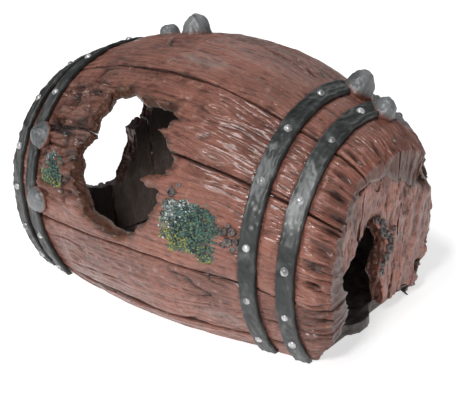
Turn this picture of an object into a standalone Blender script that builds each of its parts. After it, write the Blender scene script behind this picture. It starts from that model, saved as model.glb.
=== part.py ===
"""Sunken barrel bubbling ornament for an aquarium.

Staves, hoops, two broken heads, a flat floor, stones, moss, barnacles and the air fittings.
Lengths are in millimetres here and become metres in the scene. X runs along the barrel,
the doorway end is +X, the broken-open side is -Y and the ornament stands on z = 0.
"""
import math

import bmesh
import bpy
import numpy as np
from mathutils import Matrix, Vector

MM = 0.001
BELLY_R = 56.0
AXIS_HEIGHT = 33.0
WALL = 5.0
GAP = 0.35
HEAD_THICK = 5.0
FLOOR_THICK = 5.0
SILL_CENTRE, SILL_R, SILL_DROP = (49.5, -9.0), 10.5, 0.6
HOOP_THICK = 1.7
HOOP_WIDTH = 5.2
RIVET_R = 1.5
END_LEFT = -1.20
RIM_ANGLES = (-62, -45, -36, -24, -8, 20, 60, 85, 125, 150)
RIM_STATIONS = (0.93, 0.97, 1.02, 1.13, 1.15, 1.14, 1.12, 1.17, 1.17, 1.04)
LEAN = (0.051, -0.096, -0.099, 0.058)
SAG = (-0.014, -0.032, 0.007, -0.085)
SEAMS = (-62, -30, -3, 35, 64, 95, 125, 153, 180, 206, 243)
HOOPS = {"hoop_right_inner": 0.70, "hoop_right_outer": 0.917,
         "hoop_left_inner": -0.915, "hoop_left_outer": -1.085}
RIVET_PITCH = 23
NEAR_RIVETS = {"hoop_right_inner": (-28, -8, 13, 38, 61, 85), "hoop_right_outer": (-25, -10, 10, 38, 67, 91),
               "hoop_left_inner": (-29, -12, 50, 72), "hoop_left_outer": (-27, -11, 8, 26, 49, 71)}
FAR_RIVETS = {"hoop_right_inner": 131, "hoop_right_outer": 128, "hoop_left_inner": 94, "hoop_left_outer": 94}
TUBE_R = 3.0
BORE_R = 2.1
INLET_S = -0.10
INLET_ANGLE = 193.0
STONE_Y = -17.0
STONE_R = 6.0
STONE_X = (12.0, 37.0)


# ---------------------------------------------------------------- scene set-up
for old in list(bpy.data.objects):
    bpy.data.objects.remove(old, do_unlink=True)
scene = bpy.context.scene
parts = bpy.data.collections.new("bubbling_ornament")
tools = bpy.data.collections.new("cutters")
scene.collection.children.link(parts)
scene.collection.children.link(tools)


def material(name, colour, rough, metal=0.0):
    """Make one Principled material."""
    mat = bpy.data.materials.new(name)
    mat.use_nodes = True
    shader = mat.node_tree.nodes["Principled BSDF"]
    shader.inputs["Base Color"].default_value = (*colour, 1.0)
    shader.inputs["Roughness"].default_value = rough
    shader.inputs["Metallic"].default_value = metal
    return mat


WOOD = (0.20, 0.085, 0.06)
IRON = (0.045, 0.05, 0.05)
STONE = (0.27, 0.28, 0.28)
MOSS = (0.07, 0.13, 0.10)
SHELL = (0.34, 0.32, 0.30)


# ---------------------------------------------------------------- barrel shape
def radius(s):
    """Outside radius of the wood at station s, in belly radii."""
    return 1.0 - 0.175 * (s + 0.12) ** 2 - 0.022 * np.exp(-((s - 0.62) / 0.30) ** 2)


def wrap(s, phi, depth):
    """Place a point of the flat layout on the barrel; phi in radians from the near side."""
    r = radius(s) * BELLY_R + depth
    y = -r * np.cos(phi)
    z = r * np.sin(phi)
    x = BELLY_R * s + (LEAN[0] + LEAN[1] * s) * y + (LEAN[2] + LEAN[3] * s) * z
    y = y + BELLY_R * (SAG[0] * s + SAG[1] * s * s)
    z = z + BELLY_R * (SAG[2] * s + SAG[3] * s * s) + AXIS_HEIGHT
    return x, y, z


def right_end(angle):
    """Station where the staves stop at the doorway end: an overhang on top, shorter low down."""
    reach = np.interp(angle, RIM_ANGLES, RIM_STATIONS)
    return reach + 0.012 * np.sin(angle * 0.61) + 0.008 * np.sin(angle * 1.37 + 1)


def left_end(angle):
    """Station where the staves stop at the far end."""
    return END_LEFT + 0.018 * np.sin(angle * 0.53) + 0.012 * np.sin(angle * 1.21 + 2)


# ---------------------------------------------------------------- making helpers
def pick(obj):
    """Make one object the only selected and active one."""
    bpy.ops.object.select_all(action="DESELECT")
    obj.select_set(True)
    bpy.context.view_layer.objects.active = obj


def take(name, home, mat=None):
    """Name the object just added and put it in its collection."""
    obj = bpy.context.active_object
    obj.name = name
    obj.data.name = name
    for coll in list(obj.users_collection):
        coll.objects.unlink(obj)
    home.objects.link(obj)
    if mat is not None:
        obj.data.materials.clear()
        obj.data.materials.append(mat)
    if home is tools:
        obj.hide_render = True
        obj.display_type = "WIRE"
    pick(obj)
    return obj


def settle(obj):
    """Apply every modifier on an object."""
    pick(obj)
    for mod in list(obj.modifiers):
        bpy.ops.object.modifier_apply(modifier=mod.name)


def combine(obj, other, operation):
    """Exact Boolean of two closed solids."""
    mod = obj.modifiers.new(operation.lower(), "BOOLEAN")
    mod.operation = operation
    mod.solver = "EXACT"
    mod.object = other
    settle(obj)


def face_out(obj):
    """Turn every face outwards."""
    mesh = bmesh.new()
    mesh.from_mesh(obj.data)
    bmesh.ops.remove_doubles(mesh, verts=mesh.verts, dist=0.00002)
    bmesh.ops.dissolve_degenerate(mesh, edges=mesh.edges, dist=0.00002)
    bmesh.ops.recalc_face_normals(mesh, faces=mesh.faces)
    mesh.to_mesh(obj.data)
    mesh.free()


def bend(obj):
    """Carry a flat layout (station, arc, depth) onto the barrel."""
    for vert in obj.data.vertices:
        u, v, w = (c / MM for c in vert.co)
        x, y, z = wrap(u / BELLY_R, v / BELLY_R, w)
        vert.co = Vector((x, y, z)) * MM
    obj.data.update()


def plate(name, stations, angles, depths, cells, mat, home=parts, ends=None):
    """A flat board of the layout, made from a grid and thickened."""
    bpy.ops.mesh.primitive_grid_add(x_subdivisions=cells[0], y_subdivisions=cells[1], size=1.0)
    obj = take(name, home, mat)
    for vert in obj.data.vertices:
        angle = angles[0] + (vert.co.y + 0.5) * (angles[1] - angles[0])
        first, last = stations if ends is None else (ends[0](angle), ends[1](angle))
        s = first + (vert.co.x + 0.5) * (last - first)
        vert.co = Vector((s * BELLY_R, math.radians(angle) * BELLY_R, depths[1])) * MM
    thick = obj.modifiers.new("thick", "SOLIDIFY")
    thick.thickness = (depths[1] - depths[0]) * MM
    thick.offset = -1.0
    settle(obj)
    return obj


def core(name, depth, stations=(-1.45, 1.35), rings=16, home=tools, mat=None):
    """Solid barrel of revolution whose skin lies at one depth from the wood surface."""
    bpy.ops.mesh.primitive_cylinder_add(vertices=60, radius=1.0, depth=1.0)
    obj = take(name, home, mat)
    mesh = bmesh.new()
    mesh.from_mesh(obj.data)
    sides = [e for e in mesh.edges if abs(e.verts[0].co.z - e.verts[1].co.z) > 0.5]
    bmesh.ops.subdivide_edges(mesh, edges=sides, cuts=rings, use_grid_fill=False)
    for vert in mesh.verts:
        s = stations[0] + (vert.co.z + 0.5) * (stations[1] - stations[0])
        phi = math.atan2(vert.co.y, vert.co.x)
        x, y, z = wrap(s, phi, depth)
        vert.co = Vector((x, y, z)) * MM
    mesh.to_mesh(obj.data)
    mesh.free()
    face_out(obj)
    return obj


def block(name, low, high, home=tools, mat=None):
    """A box between two corners."""
    low, high = Vector(low), Vector(high)
    bpy.ops.mesh.primitive_cube_add(size=1.0, location=(low + high) / 2 * MM)
    obj = take(name, home, mat)
    obj.dimensions = (high - low) * MM
    bpy.ops.object.transform_apply(location=True, rotation=True, scale=True)
    return obj


def prism(name, outline, axis, low, high):
    """A closed outline drawn flat and pushed straight through; axis X or Z."""
    mesh = bmesh.new()
    frame = {"X": lambda a, b, t: (t, a, b), "Z": lambda a, b, t: (a, b, t)}[axis]
    ring = [mesh.verts.new(Vector(frame(a, b, low)) * MM) for a, b in outline]
    face = mesh.faces.new(ring)
    grown = bmesh.ops.extrude_face_region(mesh, geom=[face])
    rise = Vector(frame(0, 0, high - low)) * MM
    bmesh.ops.translate(mesh, verts=[g for g in grown["geom"] if isinstance(g, bmesh.types.BMVert)],
                        vec=rise)
    bmesh.ops.recalc_face_normals(mesh, faces=mesh.faces)
    data = bpy.data.meshes.new(name)
    mesh.to_mesh(data)
    mesh.free()
    obj = bpy.data.objects.new(name, data)
    tools.objects.link(obj)
    obj.hide_render = True
    obj.display_type = "WIRE"
    return obj


def drop(*objs):
    """Remove finished tools."""
    for obj in objs:
        bpy.data.objects.remove(obj, do_unlink=True)


ground = block("below_floor", (-120, -120, -80), (120, 120, 0))


# ---------------------------------------------------------------- staves
BREAK_CORNERS = ((-0.29, 55), (-0.45, 51), (-0.48, 40), (-0.46, 33), (-0.56, 26), (-0.49, 16),
                 (-0.43, 6), (-0.25, 1.5), (-0.09, 1.5), (0.01, 7), (0.09, 11), (0.13, 19),
                 (0.01, 22.5), (0.08, 27), (0.175, 31), (0.115, 36.5), (0.01, 41.5), (0.11, 46.5),
                 (0.06, 50), (-0.12, 51), (-0.22, 54))
INNER_SHRINK = (BELLY_R - WALL) / BELLY_R


def break_tool():
    """The hole broken through the near side, as a prism of the flat layout."""
    outline = [(s * BELLY_R, math.radians(a) * BELLY_R) for s, a in BREAK_CORNERS]
    return prism("break", outline, "Z", -12, 6)


def staves():
    """Ten boards round the barrel; two of them are broken through."""
    hole = break_tool()
    half_gap = math.degrees(GAP / 2 / BELLY_R) * 1.25
    made = []
    for i, (low, high) in enumerate(zip(SEAMS[:-1], SEAMS[1:])):
        name = "stave_%02d" % (i + 1)
        mat = material(name + "_wood", WOOD, 0.55)
        board = plate(name, None, (low + half_gap, high - half_gap), (-WALL, 0), (11, 5), mat,
                      ends=(left_end, right_end))
        if low < 55 and high > 0:
            combine(board, hole, "DIFFERENCE")
        bend(board)
        if low < -30 or high > 215:
            combine(board, ground, "DIFFERENCE")
        face_out(board)
        made.append(board)
    drop(hole)
    return made


# ---------------------------------------------------------------- hoops
def hoop(name, station):
    """Iron band with its row of domed rivets, flat layout first, then bent round."""
    mat = material(name + "_iron", IRON, 0.45, 0.6)
    half = HOOP_WIDTH / 2 / BELLY_R
    band = plate(name, (station - half, station + half), (-70, 250),
                 (GAP, GAP + HOOP_THICK), (2, 41), mat)
    heads = []
    for angle in NEAR_RIVETS[name] + tuple(range(FAR_RIVETS[name], 212, RIVET_PITCH)):
        spot = Vector((station * BELLY_R, math.radians(angle) * BELLY_R, GAP + HOOP_THICK - 0.2))
        bpy.ops.mesh.primitive_uv_sphere_add(segments=8, ring_count=6, radius=RIVET_R * MM,
                                             location=spot * MM)
        head = take("rivet", tools)
        head.scale = (1.0, 1.15, 0.8)
        bpy.ops.object.transform_apply(location=True, rotation=False, scale=True)
        heads.append(head)
    bpy.ops.object.select_all(action="DESELECT")
    for head in heads:
        head.select_set(True)
    bpy.context.view_layer.objects.active = heads[0]
    bpy.ops.object.join()
    combine(band, heads[0], "UNION")
    drop(heads[0])
    bend(band)
    combine(band, ground, "DIFFERENCE")
    face_out(band)
    return band


# ---------------------------------------------------------------- heads and floor
def slab(name, station, lean, yaw, span, height=(-70, 140)):
    """A leaning board blank across the barrel between two sides."""
    x = station * BELLY_R
    obj = block(name, (x - HEAD_THICK / 2, span[0], height[0]), (x + HEAD_THICK / 2, span[1], height[1]))
    pivot = Matrix.Translation(Vector((x, 0, AXIS_HEIGHT)) * MM)
    turn = Matrix.Rotation(math.radians(yaw), 4, "Z") @ Matrix.Rotation(math.radians(lean), 4, "Y")
    obj.data.transform(pivot @ turn @ pivot.inverted())
    return obj


def head_board(name, station, lean, yaw, span, cutter=None):
    """One board of a head: the blank trimmed to the inside of the staves."""
    mat = material(name + "_wood", WOOD, 0.6)
    board = core(name, -WALL - GAP, home=parts, mat=mat, rings=12)
    blank = slab("blank", station, lean, yaw, span)
    combine(board, blank, "INTERSECT")
    drop(blank)
    if cutter is not None:
        combine(board, cutter, "DIFFERENCE")
    above = block("above_floor", (-120, -120, -60), (120, 120, FLOOR_THICK + GAP))
    combine(board, above, "DIFFERENCE")
    drop(above)
    face_out(board)
    return board


DOOR = ((-0.26, 0.22), (-0.30, 0.14), (-0.37, 0.09), (-0.44, 0.01), (-0.48, -0.03), (-0.53, -0.09),
        (-0.90, -0.12), (-0.90, -0.80), (0.04, -0.80), (0.03, -0.46), (-0.02, -0.33), (-0.09, -0.21),
        (-0.08, -0.15), (-0.04, -0.08), (-0.03, -0.02), (-0.09, 0.07), (-0.17, 0.15), (-0.20, 0.22))
DOOR_SPLIT_NEAR, DOOR_SPLIT_FAR = -0.36, 0.10
END_HOLE = ((0.24, 0.80), (0.25, 0.33), (0.21, 0.24), (0.05, 0.19), (0.05, 0.09), (-0.02, -0.03),
            (-0.12, -0.15), (-0.28, -0.15), (-0.42, -0.10), (-0.80, -0.02), (-0.80, 0.80))


def heads():
    """Doorway head of three boards and the broken head at the other end."""
    outline = [(y * BELLY_R, z * BELLY_R + AXIS_HEIGHT) for y, z in DOOR]
    door = prism("door", outline, "X", 20, 100)
    near, far = DOOR_SPLIT_NEAR * BELLY_R, DOOR_SPLIT_FAR * BELLY_R
    head_board("door_head_near", 1.06, 3, 0, (-60, near), door)
    head_board("door_head_middle", 1.06, 3, 0, (near + GAP, far), door)
    head_board("door_head_far", 1.06, 3, 0, (far + GAP, 60))
    drop(door)
    outline = [(y * BELLY_R, z * BELLY_R + AXIS_HEIGHT) for y, z in END_HOLE]
    hole = prism("end_hole", outline, "X", -110, -30)
    head_board("end_head_near", -1.05, -9, -8, (-60, -0.22 * BELLY_R), hole)
    head_board("end_head_middle", -1.05, -9, -8, (-0.22 * BELLY_R + GAP, 0.18 * BELLY_R), hole)
    head_board("end_head_far", -1.05, -9, -8, (0.18 * BELLY_R + GAP, 60), hole)
    drop(hole)


def floor():
    """Flat floor closing the cut-off underside, with a rounded sill in the doorway."""
    mat = material("floor_resin", (0.16, 0.12, 0.10), 0.7)
    obj = core("floor", -WALL - GAP, stations=(-1.16, 0.98), home=parts, mat=mat)
    blank = block("blank", (-120, -120, 0), (120, 120, FLOOR_THICK))
    combine(obj, blank, "INTERSECT")
    round_tip = [(SILL_CENTRE[0] + SILL_R * math.cos(t), SILL_CENTRE[1] + SILL_R * math.sin(t))
                 for t in np.linspace(0, 2 * math.pi, 40, endpoint=False)]
    sill = prism("sill", round_tip, "Z", 0, FLOOR_THICK - SILL_DROP)
    combine(obj, sill, "UNION")
    drop(blank, sill)
    face_out(obj)
    return obj


# ---------------------------------------------------------------- growths
def lump(name, station, angle, size, sink, seed, mat, detail=2, rough=0.09):
    """A knobbly pebble standing on the barrel, its underside cut to the curve it sits on."""
    bpy.ops.mesh.primitive_ico_sphere_add(subdivisions=detail, radius=1.0)
    obj = take(name, parts, mat)
    for vert in obj.data.vertices:
        p = vert.co * 3.1
        swell = 1 + rough * (math.sin(p.x * 1.3 + seed) + math.sin(p.y * 1.7 + seed * 2)
                             + math.sin(p.z * 1.1 + p.x + seed * 3))
        vert.co = Vector((vert.co.x * size[0], vert.co.y * size[1], vert.co.z * size[2])) * swell * MM
    phi = math.radians(angle)
    at = Vector(wrap(station, phi, sink)) * MM
    out = Vector((0, -math.cos(phi), math.sin(phi)))
    along = Vector((1, 0, 0))
    turn = Matrix((along, out.cross(along), out)).transposed().to_4x4()
    obj.data.transform(Matrix.Translation(at) @ turn)
    obj.data.update()
    return obj


def growths(skin, hoop_skin):
    """Stones, moss and barnacles, each cut clear of the wood or iron under it."""
    stones = (("stone_top", -0.38, 97, (5.6, 4.8, 7.4), 2.0, hoop_skin),
              ("stone_top_small", -0.56, 94, (4.0, 3.6, 3.8), 1.6, hoop_skin),
              ("stone_on_inner_hoop", 0.74, 108, (5.6, 5.0, 7.4), 3.0, hoop_skin),
              ("stone_on_outer_hoop", 0.955, 106, (4.0, 4.0, 5.0), 3.0, hoop_skin),
              ("stone_left_upper", -0.85, 31, (4.4, 4.4, 4.2), 2.8, hoop_skin),
              ("stone_left_lower", -0.83, 5, (4.4, 4.0, 3.8), 2.8, hoop_skin))
    for i, (name, station, angle, size, sink, under) in enumerate(stones):
        stone = lump(name, station, angle, size, sink, i + 1.0, material(name + "_rock", STONE, 0.7))
        combine(stone, under, "DIFFERENCE")
        face_out(stone)
    tufts = (("moss_patch", 0.35, 12, (10.5, 12.0, 2.6), 0.6, skin, 7.0),
             ("moss_left", -0.70, 18, (5.2, 6.0, 2.2), 0.6, skin, 4.0))
    for name, station, angle, size, sink, under, seed in tufts:
        tuft = lump(name, station, angle, size, sink, seed, material(name + "_green", MOSS, 0.8), 3)
        combine(tuft, under, "DIFFERENCE")
        face_out(tuft)
    shells = lump("barnacles_side", 0.60, 13, (2.6, 4.6, 3.0), 0.8, 2.5,
                  material("barnacles_side_shell", SHELL, 0.6))
    combine(shells, skin, "DIFFERENCE")
    face_out(shells)


# ---------------------------------------------------------------- air fittings
def turned(name, rings, mat, home=parts, segments=20):
    """A turned piece about Z from (radius, height) rings, closed by the Screw modifier."""
    data = bpy.data.meshes.new(name)
    mesh = bmesh.new()
    verts = [mesh.verts.new(Vector((r, 0, z)) * MM) for r, z in rings]
    for a, b in zip(verts, verts[1:] + verts[:1]):
        mesh.edges.new((a, b))
    mesh.to_mesh(data)
    mesh.free()
    obj = bpy.data.objects.new(name, data)
    home.objects.link(obj)
    if mat is not None:
        data.materials.append(mat)
    spin = obj.modifiers.new("spin", "SCREW")
    spin.steps = segments
    spin.render_steps = segments
    spin.use_merge_vertices = True
    spin.merge_threshold = 0.00001
    settle(obj)
    face_out(obj)
    return obj


def aim(obj, at, direction):
    """Stand a turned piece at a point with its Z along a direction."""
    obj.location = Vector(at) * MM
    obj.rotation_mode = "QUATERNION"
    obj.rotation_quaternion = Vector(direction).to_track_quat("Z", "Y")
    bpy.context.view_layer.update()


def hose(name, points, r, home, mat=None):
    """A round rod along a smooth path, ends capped."""
    curve = bpy.data.curves.new(name, "CURVE")
    curve.dimensions = "3D"
    curve.bevel_depth = r * MM
    curve.bevel_resolution = 2
    curve.use_fill_caps = True
    line = curve.splines.new("POLY")
    line.points.add(len(points) - 1)
    for spot, p in zip(line.points, points):
        spot.co = (*(Vector(p) * MM), 1.0)
    obj = bpy.data.objects.new(name, curve)
    home.objects.link(obj)
    pick(obj)
    bpy.ops.object.convert(target="MESH")
    obj = take(name, home, mat)
    face_out(obj)
    return obj


def fillet_path(corners, bend_r, steps=6):
    """Straight runs joined by arcs of one radius."""
    pts = [Vector(corners[0])]
    for before, here, after in zip(corners, corners[1:], corners[2:]):
        here = Vector(here)
        a = (Vector(before) - here).normalized()
        b = (Vector(after) - here).normalized()
        cut = bend_r / math.tan(a.angle(b) / 2)
        for k in range(steps + 1):
            t = k / steps
            pts.append((here + a * cut).lerp(here, t).lerp(here.lerp(here + b * cut, t), t))
    pts.append(Vector(corners[-1]))
    return pts


def air_fittings(stave):
    """Inlet barb through the back, grommet, inner tube, and the pull-off air stone."""
    phi = math.radians(INLET_ANGLE)
    inner = Vector(wrap(INLET_S, phi, -WALL))
    out = Vector((0, -math.cos(phi), math.sin(phi)))
    hole = turned("inlet_hole", ((0, -9), (5.3, -9), (5.3, 16), (0, 16)), None, tools)
    aim(hole, inner, out)
    combine(stave, hole, "DIFFERENCE")
    face_out(stave)
    drop(hole)
    rubber = material("inlet_grommet_rubber", (0.02, 0.02, 0.02), 0.8)
    grommet = turned("inlet_grommet", ((3.4, -2.5), (7.4, -2.5), (7.4, -1.1), (5.0, -1.1),
                                       (5.0, WALL + GAP), (7.0, WALL + GAP), (7.0, WALL + 1.7),
                                       (3.4, WALL + 1.7)), rubber)
    aim(grommet, inner, out)
    plastic = material("inlet_barb_plastic", (0.75, 0.76, 0.74), 0.35)
    top = WALL + 1.7 + GAP
    barb = turned("inlet_barb", ((1.2, -13), (1.9, -13), (1.9, -3.3), (3.0, -3.3), (3.0, top),
                                 (4.6, top), (4.6, top + 1.4), (2.2, top + 1.4), (2.2, top + 5),
                                 (2.8, top + 5.4), (2.1, top + 8), (1.2, top + 8)), plastic)
    aim(barb, inner, out)
    level = FLOOR_THICK + GAP + STONE_R
    start = inner - out * 3.9
    knee = inner - out * 20.0
    corners = (start, knee, Vector((inner.x, knee.y - 10, level)), Vector((inner.x, STONE_Y, level)),
               Vector((STONE_X[0] - 1.2, STONE_Y, level)))
    path = fillet_path(corners, 6.0)
    clear = material("air_tube_pvc", (0.75, 0.78, 0.76), 0.25)
    tube = hose("air_tube", path, TUBE_R, parts, clear)
    longer = [path[0] + (path[0] - path[1]).normalized() * 4] + path
    longer.append(path[-1] + Vector((4, 0, 0)))
    bore = hose("air_bore", longer, BORE_R, tools)
    combine(tube, bore, "DIFFERENCE")
    drop(bore)
    face_out(tube)
    grit = material("air_stone_grit", (0.30, 0.42, 0.55), 0.95)
    x0, x1 = STONE_X
    stone = turned("air_stone", ((2.2, 0), (STONE_R - 1, 0), (STONE_R, 1), (STONE_R, x1 - x0 - 1.5),
                                 (STONE_R - 1.5, x1 - x0), (0, x1 - x0), (0, 7), (2.2, 7)), grit, segments=24)
    aim(stone, (x0, STONE_Y, level), (1, 0, 0))
    stem = turned("air_stone_stem", ((0.9, -7), (1.7, -7), (1.7, -4), (1.9, -3.6), (1.9, 6.6), (0.9, 6.6)),
                  material("air_stone_stem_plastic", (0.8, 0.8, 0.78), 0.4))
    aim(stem, (x0, STONE_Y, level), (1, 0, 0))


# ---------------------------------------------------------------- build
boards = staves()
for hoop_name, hoop_station in HOOPS.items():
    hoop(hoop_name, hoop_station)
heads()
floor()
wood_skin = core("wood_skin", GAP)
iron_skin = core("iron_skin", GAP + HOOP_THICK + GAP)
growths(wood_skin, iron_skin)
air_fittings(boards[8])
for tool in list(tools.objects):
    bpy.data.objects.remove(tool, do_unlink=True)
print("nodes", len(parts.objects))
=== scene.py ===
# %% [markdown]
# # A sunken barrel that blows bubbles
# The real thing is a hollow resin casting of a broken barrel, painted and varnished, with a few
# small air fittings inside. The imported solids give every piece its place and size. Here each
# piece gets the surface a sculptor gave it: carved grain, knots, splintered edges, worn hoops.

# %% Load the frame
import math

import bmesh
import bpy
import numpy as np
from mathutils import Matrix, Vector


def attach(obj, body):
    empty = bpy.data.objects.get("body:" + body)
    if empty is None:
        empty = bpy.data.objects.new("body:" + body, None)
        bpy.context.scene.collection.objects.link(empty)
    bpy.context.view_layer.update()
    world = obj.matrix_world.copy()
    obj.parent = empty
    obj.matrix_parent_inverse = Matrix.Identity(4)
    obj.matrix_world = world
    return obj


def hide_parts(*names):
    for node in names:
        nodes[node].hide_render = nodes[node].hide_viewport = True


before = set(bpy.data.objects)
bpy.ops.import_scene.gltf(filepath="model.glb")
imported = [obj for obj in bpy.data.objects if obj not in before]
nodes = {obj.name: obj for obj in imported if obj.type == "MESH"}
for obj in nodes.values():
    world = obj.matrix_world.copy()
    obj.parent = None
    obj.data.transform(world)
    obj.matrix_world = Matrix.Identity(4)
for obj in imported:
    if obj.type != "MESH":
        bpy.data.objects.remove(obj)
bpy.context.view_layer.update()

MM = 0.001

# %% [markdown]
# ## The barrel as a flat drawing
# A cooper could unroll a barrel into flat boards. Everything on the skin is drawn on that flat
# layout first (u along the barrel, v round it, both in millimetres, depth outwards) and is then
# carried round the barrel. Straight grain drawn flat stays straight grain on the curved board.

# %% Barrel shape, the same numbers as the solids
BELLY_R = 56.0
AXIS_HEIGHT = 33.0
WALL = 5.0
LEAN = (0.051, -0.096, -0.099, 0.058)
SAG = (-0.014, -0.032, 0.007, -0.085)
SEAMS = (-62, -30, -3, 35, 64, 95, 125, 153, 180, 206, 243)
RIM_ANGLES = (-62, -45, -36, -24, -8, 20, 60, 85, 125, 150)
RIM_STATIONS = (0.93, 0.97, 1.02, 1.13, 1.15, 1.14, 1.12, 1.17, 1.17, 1.04)
HOOPS = {"hoop_right_inner": 0.70, "hoop_right_outer": 0.917,
         "hoop_left_inner": -0.915, "hoop_left_outer": -1.085}


def barrel_radius(s):
    """Outside radius at station s, in belly radii."""
    return 1.0 - 0.175 * (s + 0.12) ** 2 - 0.022 * np.exp(-((s - 0.62) / 0.30) ** 2)


def wrap(co):
    """Carry layout points (u, v, depth) in millimetres onto the barrel, in metres."""
    s = co[:, 0] / BELLY_R
    phi = co[:, 1] / BELLY_R
    r = barrel_radius(s) * BELLY_R + co[:, 2]
    y = -r * np.cos(phi)
    z = r * np.sin(phi)
    x = co[:, 0] + (LEAN[0] + LEAN[1] * s) * y + (LEAN[2] + LEAN[3] * s) * z
    y = y + BELLY_R * (SAG[0] * s + SAG[1] * s * s)
    z = z + BELLY_R * (SAG[2] * s + SAG[3] * s * s) + AXIS_HEIGHT
    return np.stack((x, y, z), -1) * MM


def ramp(x, low, high):
    """Smooth step from 0 at low to 1 at high."""
    t = np.clip((x - low) / (high - low), 0, 1)
    return t * t * (3 - 2 * t)


def arc(angle):
    """Distance round the layout for an angle in degrees."""
    return np.radians(angle) * BELLY_R


def right_end(angle):
    """Ragged end of the boards at the doorway, longest on top and shortest at the ground."""
    reach = np.interp(angle, RIM_ANGLES, RIM_STATIONS)
    torn = 0.2 + 0.8 * ramp(angle, 128, 155)
    return reach + torn * (0.012 * np.sin(angle * 0.61) + 0.008 * np.sin(angle * 1.37 + 1))


def left_end(angle):
    """Ragged end of the boards at the broken head."""
    return -1.20 + 0.018 * np.sin(angle * 0.53) + 0.012 * np.sin(angle * 1.21 + 2)


# %% [markdown]
# ## Camera, floor and light
# A plain pale floor under broad daylight, as in a product studio, with a weak lamp behind. The
# varnish needs one small lamp it can mirror, beside the camera, or the carved ridges would not
# glint.

# %% Camera
cam_data = bpy.data.cameras.new("camera")
cam_data.sensor_width = 36.0
cam_data.lens = 83.7
cam_data.clip_start = 0.01
camera = bpy.data.objects.new("camera", cam_data)
camera.location = (0.22180, -0.29190, 0.19875)
LOOK_DOWN, LOOK_LEFT = 24.84, 37.94
camera.rotation_euler = (math.radians(90 - LOOK_DOWN), 0, math.radians(LOOK_LEFT))
print("camera", tuple(camera.location))
bpy.context.scene.collection.objects.link(camera)
bpy.context.scene.camera = camera

# %% Floor, lamps and sky
bpy.ops.object.select_all(action="DESELECT")
bpy.ops.mesh.primitive_plane_add(size=6.0, location=(0, 0, -0.0002))
ground = bpy.context.active_object
ground.name = "studio_floor"
floor_mat = bpy.data.materials.new("studio_floor")
floor_mat.use_nodes = True
shader = floor_mat.node_tree.nodes["Principled BSDF"]
shader.inputs["Base Color"].default_value = (0.9, 0.9, 0.9, 1)
shader.inputs["Roughness"].default_value = 0.9
shader.inputs["Emission Color"].default_value = (1, 1, 1, 1)
shader.inputs["Emission Strength"].default_value = 0.60
ground.data.materials.append(floor_mat)


def lamp(name, at, aim, size, power):
    """One lamp aimed at a point: a soft square, or daylight when the size is in degrees."""
    data = bpy.data.lights.new(name, "AREA" if size < 1 else "SUN")
    if size < 1:
        data.size = size
    else:
        data.angle = math.radians(size)
    data.energy = power
    obj = bpy.data.objects.new(name, data)
    obj.location = at
    obj.rotation_euler = (Vector(aim) - Vector(at)).to_track_quat("-Z", "Y").to_euler()
    bpy.context.scene.collection.objects.link(obj)


CENTRE = (0, 0, 0.045)
lamp("day", (-0.10, -0.45, 0.80), CENTRE, 14.0, 1.35)
lamp("flash", (0.12, -0.36, 0.30), CENTRE, 0.07, 0.95)
lamp("back", (-0.3, 0.6, 0.6), CENTRE, 0.5, 0.8)
world = bpy.data.worlds.new("sky")
world.use_nodes = True
world.node_tree.nodes["Background"].inputs["Color"].default_value = (1, 1, 1, 1)
world.node_tree.nodes["Background"].inputs["Strength"].default_value = 0.16
bpy.context.scene.world = world
bpy.context.scene.view_settings.view_transform = "Standard"
print("floor and lamps in place")

# %% [markdown]
# ## Smooth noise
# Wood needs wandering lines that never repeat. This is plain value noise: a fixed scatter of
# numbers on a lattice, joined smoothly. It is the same on every run.

# %% Noise
def scatter(i, j, seed):
    """A fixed pseudo-random number from -1 to 1 for each lattice corner."""
    n = (i.astype(np.int64) * 374761393 + j.astype(np.int64) * 668265263 + seed * 1442695041)
    n = (n ^ (n >> 13)) * 1274126177 & 0xFFFFFFFF
    n = (n ^ (n >> 16)) & 0xFFFFFF
    return n / float(0x7FFFFF) - 1.0


def noise(x, y, seed):
    """Smooth value noise in the plane."""
    i, j = np.floor(x), np.floor(y)
    fx, fy = x - i, y - j
    fx = fx * fx * fx * (fx * (fx * 6 - 15) + 10)
    fy = fy * fy * fy * (fy * (fy * 6 - 15) + 10)
    a, b = scatter(i, j, seed), scatter(i + 1, j, seed)
    c, d = scatter(i, j + 1, seed), scatter(i + 1, j + 1, seed)
    return (a + (b - a) * fx) * (1 - fy) + (c + (d - c) * fx) * fy


def cloud(x, y, seed, octaves=3):
    """Noise at several sizes added up."""
    total = sum(noise(x * 2 ** k, y * 2 ** k, seed + 17 * k) / 2 ** k for k in range(octaves))
    return total / 1.6


# %% [markdown]
# ## Carving the grain
# The grain is a set of level lines that run along the board. A knot pushes the lines aside, as a
# rock does a stream, and has rings of its own inside. Thin grooves are cut along the lines, and
# a dark wash is kept where they are deep, the way paint settles in a casting.

# %% Knots: place along (belly radii) and round (degrees), half length and half width in mm, pale
KNOTS = ((0.02, 73, 7.5, 2.6, 1.0), (-0.16, 69, 2.2, 1.3, 0.8), (0.40, 104, 3.0, 2.0, 0.9),
         (0.49, 100, 2.4, 1.8, 0.8), (0.31, 55, 3.8, 1.5, 0.1), (0.40, 39, 4.0, 1.4, 0.5),
         (0.50, -22, 4.6, 3.0, 0.9), (-0.58, 33, 1.9, 1.7, 0.2), (-0.46, 7, 1.9, 1.6, 0.3),
         (-0.30, 118, 5.5, 2.6, 0.6), (0.25, 142, 4.5, 2.2, 0.4), (-0.55, 160, 5.0, 2.4, 0.7),
         (0.45, 172, 5.2, 2.6, 0.5), (-0.20, 196, 4.2, 2.0, 0.3), (-0.62, -18, 4.0, 2.0, 0.3),
         (0.05, -40, 4.0, 2.0, 0.4), (0.80, 128, 3.0, 1.8, 0.6))


def grooves(t, sharp):
    """Narrow valleys at every whole number."""
    return np.abs(2 * (t - np.floor(t)) - 1) ** sharp


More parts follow.
